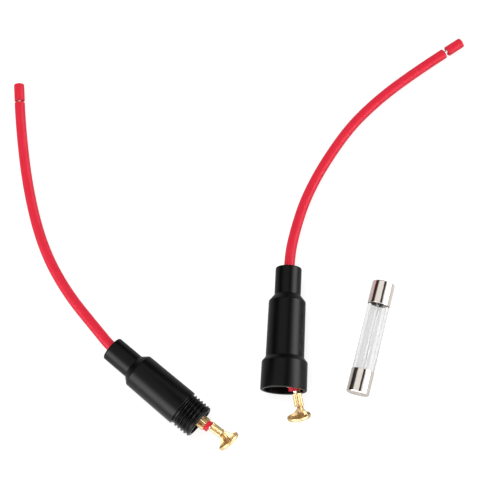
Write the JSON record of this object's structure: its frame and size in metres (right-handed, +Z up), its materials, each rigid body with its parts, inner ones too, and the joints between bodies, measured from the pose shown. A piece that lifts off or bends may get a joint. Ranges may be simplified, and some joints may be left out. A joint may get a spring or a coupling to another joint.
{
  "type": "inline fuse holder",
  "caption": "Unscrewed inline holder for a cartridge fuse: two moulded halves slid back on their red leads, stamped brass contacts showing, and the glass fuse lying beside them.",
  "frame": {"origin": "on the table, under the middle of the box round the two halves, the spring, the contacts and the fuse, without the leads", "axes": "+X to the right and +Y away from the viewer in the picture, +Z up from the table"},
  "size_m": [0.1255, 0.1145, 0.012],
  "materials": {
    "black_moulding": "moulded, semi-gloss",
    "red_pvc": "smooth extruded jacket",
    "contact_brass": "bright stamped sheet",
    "spring_steel": "drawn wire",
    "tinned_strands": "tinned copper strands",
    "nickel_cap": "bright nickel plate",
    "fuse_glass": "clear drawn tube",
    "element_wire": "fine tinned wire",
    "solder": "dull solder"
  },
  "bodies": {
    "leads_and_fuse": {"male_lead_jacket": "red_pvc", "male_lead_core": "tinned_strands", "female_lead_jacket": "red_pvc", "female_lead_core": "tinned_strands", "male_contact": "contact_brass", "female_contact": "contact_brass", "fuse_glass": "fuse_glass", "fuse_element": "element_wire", "fuse_cap_a": "nickel_cap", "fuse_cap_b": "nickel_cap", "fuse_solder_a": "solder", "fuse_solder_b": "solder"},
    "spring": {"contact_spring": "spring_steel"},
    "male_half": {"male_half": "black_moulding"},
    "female_half": {"female_half": "black_moulding"},
    "male_slug": {"male_lead_slug": "red_pvc"},
    "female_slug": {"female_lead_slug": "red_pvc"}
  },
  "joints": [
    {"name": "male_half_slide", "type": "slide", "parent": "leads_and_fuse", "child": "spring", "axis": [0.766, -0.6428, 0.0099], "range_m": [0, 0.006]},
    {"name": "male_half_turn", "type": "hinge", "parent": "spring", "child": "male_half", "pos_m": [-0.03599, 0.0023, 0.00458], "axis": [0.766, -0.6428, 0.0099], "continuous": true},
    {"name": "female_half_turn", "type": "hinge", "parent": "leads_and_fuse", "child": "female_half", "pos_m": [0.00991, 0.02345, 0.00524], "axis": [-0.0534, -0.9982, 0.0262], "continuous": true},
    {"name": "male_slug_pull", "type": "slide", "parent": "leads_and_fuse", "child": "male_slug", "axis": [-0.083, 0.9965, 0], "range_m": [-0.00065, 0.0036]},
    {"name": "female_slug_pull", "type": "slide", "parent": "leads_and_fuse", "child": "female_slug", "axis": [0.8276, 0.5613, 0], "range_m": [-0.00115, 0.0036]}
  ]
}
